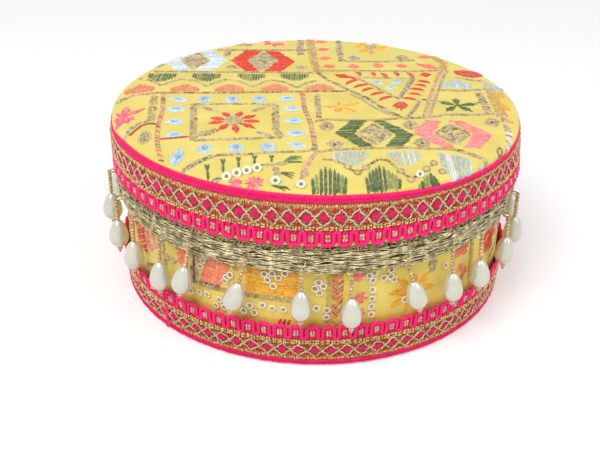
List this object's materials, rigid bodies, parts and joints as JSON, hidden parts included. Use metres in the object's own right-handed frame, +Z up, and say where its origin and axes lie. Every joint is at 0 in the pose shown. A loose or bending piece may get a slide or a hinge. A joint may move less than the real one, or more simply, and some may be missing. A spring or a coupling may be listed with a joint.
{
  "type": "sweet box",
  "caption": "Round cloth-covered gift box for sweets with a lift-off lid, lace trim, metallic braid and a fringe of hanging pearl drops.",
  "frame": {"origin": "middle of the underside, on the surface that the box stands on", "axes": "+Z up along the box's axis, front of the pictured view towards -Y"},
  "size_m": [0.1901, 0.1902, 0.0784],
  "materials": {
    "greyboard": "plain pressed board, covered",
    "wadding": "soft wadding, covered",
    "embroidered_cloth": "yellow cloth with coloured thread embroidery and sequins",
    "satin_lining": "plain satin",
    "pink_cord": "glossy plaited cord",
    "gilt_lace": "gilt thread lattice",
    "zari_braid": "puffed metallic braid",
    "sewing_thread": "waxed thread",
    "pearl": "pearl lustre",
    "sole_paper": "matt paper"
  },
  "bodies": {
    "base": {"base_sole": "sole_paper", "base_floor": "greyboard", "base_wall": "greyboard", "base_cover": "embroidered_cloth", "base_floor_lining": "satin_lining", "base_wall_lining": "satin_lining", "base_lace_piping": "pink_cord", "base_lace_band": "gilt_lace", "base_lace_scallops": "pink_cord", "zari_braid": "zari_braid", "drop_hangers": "sewing_thread"},
    "lid": {"lid_board": "greyboard", "lid_rim": "greyboard", "lid_padding": "wadding", "lid_cover": "embroidered_cloth", "lid_ceiling_lining": "satin_lining", "lid_wall_lining": "satin_lining", "lid_lace_piping": "pink_cord", "lid_lace_band": "gilt_lace", "lid_lace_scallops": "pink_cord"},
    "drop_01": {"pearl_drop_01": "pearl"},
    "drop_02": {"pearl_drop_02": "pearl"},
    "drop_03": {"pearl_drop_03": "pearl"},
    "drop_04": {"pearl_drop_04": "pearl"},
    "drop_05": {"pearl_drop_05": "pearl"},
    "drop_06": {"pearl_drop_06": "pearl"},
    "drop_07": {"pearl_drop_07": "pearl"},
    "drop_08": {"pearl_drop_08": "pearl"},
    "drop_09": {"pearl_drop_09": "pearl"},
    "drop_10": {"pearl_drop_10": "pearl"},
    "drop_11": {"pearl_drop_11": "pearl"},
    "drop_12": {"pearl_drop_12": "pearl"},
    "drop_13": {"pearl_drop_13": "pearl"},
    "drop_14": {"pearl_drop_14": "pearl"},
    "drop_15": {"pearl_drop_15": "pearl"},
    "drop_16": {"pearl_drop_16": "pearl"},
    "drop_17": {"pearl_drop_17": "pearl"},
    "drop_18": {"pearl_drop_18": "pearl"},
    "drop_19": {"pearl_drop_19": "pearl"},
    "drop_20": {"pearl_drop_20": "pearl"},
    "drop_21": {"pearl_drop_21": "pearl"},
    "drop_22": {"pearl_drop_22": "pearl"},
    "drop_23": {"pearl_drop_23": "pearl"},
    "drop_24": {"pearl_drop_24": "pearl"},
    "drop_25": {"pearl_drop_25": "pearl"},
    "drop_26": {"pearl_drop_26": "pearl"},
    "drop_27": {"pearl_drop_27": "pearl"},
    "drop_28": {"pearl_drop_28": "pearl"}
  },
  "joints": [
    {"name": "lid_lift", "type": "slide", "parent": "base", "child": "lid", "axis": [0, 0, 1], "range_m": [0, 0.12]},
    {"name": "drop_01_swing", "type": "hinge", "parent": "base", "child": "drop_01", "pos_m": [-0.09067, 0.00714, 0.0509], "axis": [0.0785, 0.9969, 0], "range_deg": [-4.5, 120]},
    {"name": "drop_02_swing", "type": "hinge", "parent": "base", "child": "drop_02", "pos_m": [-0.08901, -0.01869, 0.0514], "axis": [-0.2053, 0.9781, 0.0349], "range_deg": [-4.5, 120]},
    {"name": "drop_03_swing", "type": "hinge", "parent": "base", "child": "drop_03", "pos_m": [-0.08262, -0.03803, 0.0484], "axis": [-0.4175, 0.9072, 0.0523], "range_deg": [-4.5, 120]},
    {"name": "drop_04_swing", "type": "hinge", "parent": "base", "child": "drop_04", "pos_m": [-0.07304, -0.05419, 0.0474], "axis": [-0.5944, 0.8012, 0.0698], "range_deg": [-4.5, 120]},
    {"name": "drop_05_swing", "type": "hinge", "parent": "base", "child": "drop_05", "pos_m": [-0.06035, -0.06804, 0.0464], "axis": [-0.7474, 0.6629, 0.0436], "range_deg": [-4.5, 120]},
    {"name": "drop_06_swing", "type": "hinge", "parent": "base", "child": "drop_06", "pos_m": [-0.04713, -0.07778, 0.0494], "axis": [-0.8298, 0.5028, 0.2419], "range_deg": [-4.5, 120]},
    {"name": "drop_07_swing", "type": "hinge", "parent": "base", "child": "drop_07", "pos_m": [-0.02485, -0.08749, 0.0489], "axis": [-0.9247, 0.2627, 0.2756], "range_deg": [-4.5, 120]},
    {"name": "drop_08_swing", "type": "hinge", "parent": "base", "child": "drop_08", "pos_m": [-0.00397, -0.09086, 0.0489], "axis": [-0.999, 0.0436, 0], "range_deg": [-4.5, 120]},
    {"name": "drop_09_swing", "type": "hinge", "parent": "base", "child": "drop_09", "pos_m": [0.01479, -0.08974, 0.0454], "axis": [-0.9864, -0.1625, -0.0262], "range_deg": [-4.5, 120]},
    {"name": "drop_10_swing", "type": "hinge", "parent": "base", "child": "drop_10", "pos_m": [0.03585, -0.08359, 0.0484], "axis": [-0.8834, -0.3789, -0.2756], "range_deg": [-4.5, 120]},
    {"name": "drop_11_swing", "type": "hinge", "parent": "base", "child": "drop_11", "pos_m": [0.05419, -0.07304, 0.0469], "axis": [-0.7994, -0.5931, -0.0958], "range_deg": [-4.5, 120]},
    {"name": "drop_12_swing", "type": "hinge", "parent": "base", "child": "drop_12", "pos_m": [0.06698, -0.06153, 0.0464], "axis": [-0.6744, -0.7342, -0.0785], "range_deg": [-4.5, 120]},
    {"name": "drop_13_swing", "type": "hinge", "parent": "base", "child": "drop_13", "pos_m": [0.08124, -0.04089, 0.0459], "axis": [-0.4493, -0.8927, -0.0349], "range_deg": [-4.5, 120]},
    {"name": "drop_14_swing", "type": "hinge", "parent": "base", "child": "drop_14", "pos_m": [0.0883, -0.02178, 0.0459], "axis": [-0.2395, -0.9709, 0], "range_deg": [-4.5, 120]},
    {"name": "drop_15_swing", "type": "hinge", "parent": "base", "child": "drop_15", "pos_m": [0.09094, 0.00159, 0.0454], "axis": [0.0175, -0.9998, 0], "range_deg": [-4.5, 120]},
    {"name": "drop_16_swing", "type": "hinge", "parent": "base", "child": "drop_16", "pos_m": [0.08932, 0.01713, 0.0474], "axis": [0.1882, -0.9815, 0.0349], "range_deg": [-4.5, 120]},
    {"name": "drop_17_swing", "type": "hinge", "parent": "base", "child": "drop_17", "pos_m": [0.08359, 0.03585, 0.0469], "axis": [0.3936, -0.9178, 0.0523], "range_deg": [-4.5, 120]},
    {"name": "drop_18_swing", "type": "hinge", "parent": "base", "child": "drop_18", "pos_m": [0.07444, 0.05226, 0.0479], "axis": [0.5732, -0.8164, 0.0698], "range_deg": [-4.5, 120]},
    {"name": "drop_19_swing", "type": "hinge", "parent": "base", "child": "drop_19", "pos_m": [0.06153, 0.06698, 0.0484], "axis": [0.7357, -0.6759, 0.0436], "range_deg": [-4.5, 120]},
    {"name": "drop_20_swing", "type": "hinge", "parent": "base", "child": "drop_20", "pos_m": [0.04577, 0.07859, 0.0469], "axis": [0.851, -0.4956, 0.1736], "range_deg": [-4.5, 120]},
    {"name": "drop_21_swing", "type": "hinge", "parent": "base", "child": "drop_21", "pos_m": [0.02713, 0.08681, 0.0464], "axis": [0.9336, -0.2918, 0.2079], "range_deg": [-4.5, 120]},
    {"name": "drop_22_swing", "type": "hinge", "parent": "base", "child": "drop_22", "pos_m": [0.00476, 0.09083, 0.0479], "axis": [0.9986, -0.0523, 0], "range_deg": [-4.5, 120]},
    {"name": "drop_23_swing", "type": "hinge", "parent": "base", "child": "drop_23", "pos_m": [-0.01479, 0.08974, 0.0459], "axis": [0.9864, 0.1625, -0.0262], "range_deg": [-4.5, 120]},
    {"name": "drop_24_swing", "type": "hinge", "parent": "base", "child": "drop_24", "pos_m": [-0.0373, 0.08295, 0.0479], "axis": [0.8921, 0.4012, -0.2079], "range_deg": [-4.5, 120]},
    {"name": "drop_25_swing", "type": "hinge", "parent": "base", "child": "drop_25", "pos_m": [-0.05483, 0.07257, 0.0469], "axis": [0.7942, 0.6, -0.0958], "range_deg": [-4.5, 120]},
    {"name": "drop_26_swing", "type": "hinge", "parent": "base", "child": "drop_26", "pos_m": [-0.06857, 0.05975, 0.0474], "axis": [0.655, 0.7516, -0.0785], "range_deg": [-4.5, 120]},
    {"name": "drop_27_swing", "type": "hinge", "parent": "base", "child": "drop_27", "pos_m": [-0.08052, 0.0423, 0.0464], "axis": [0.4648, 0.8847, -0.0349], "range_deg": [-4.5, 120]},
    {"name": "drop_28_swing", "type": "hinge", "parent": "base", "child": "drop_28", "pos_m": [-0.08849, 0.02101, 0.0479], "axis": [0.231, 0.9729, 0], "range_deg": [-4.5, 120]}
  ]
}
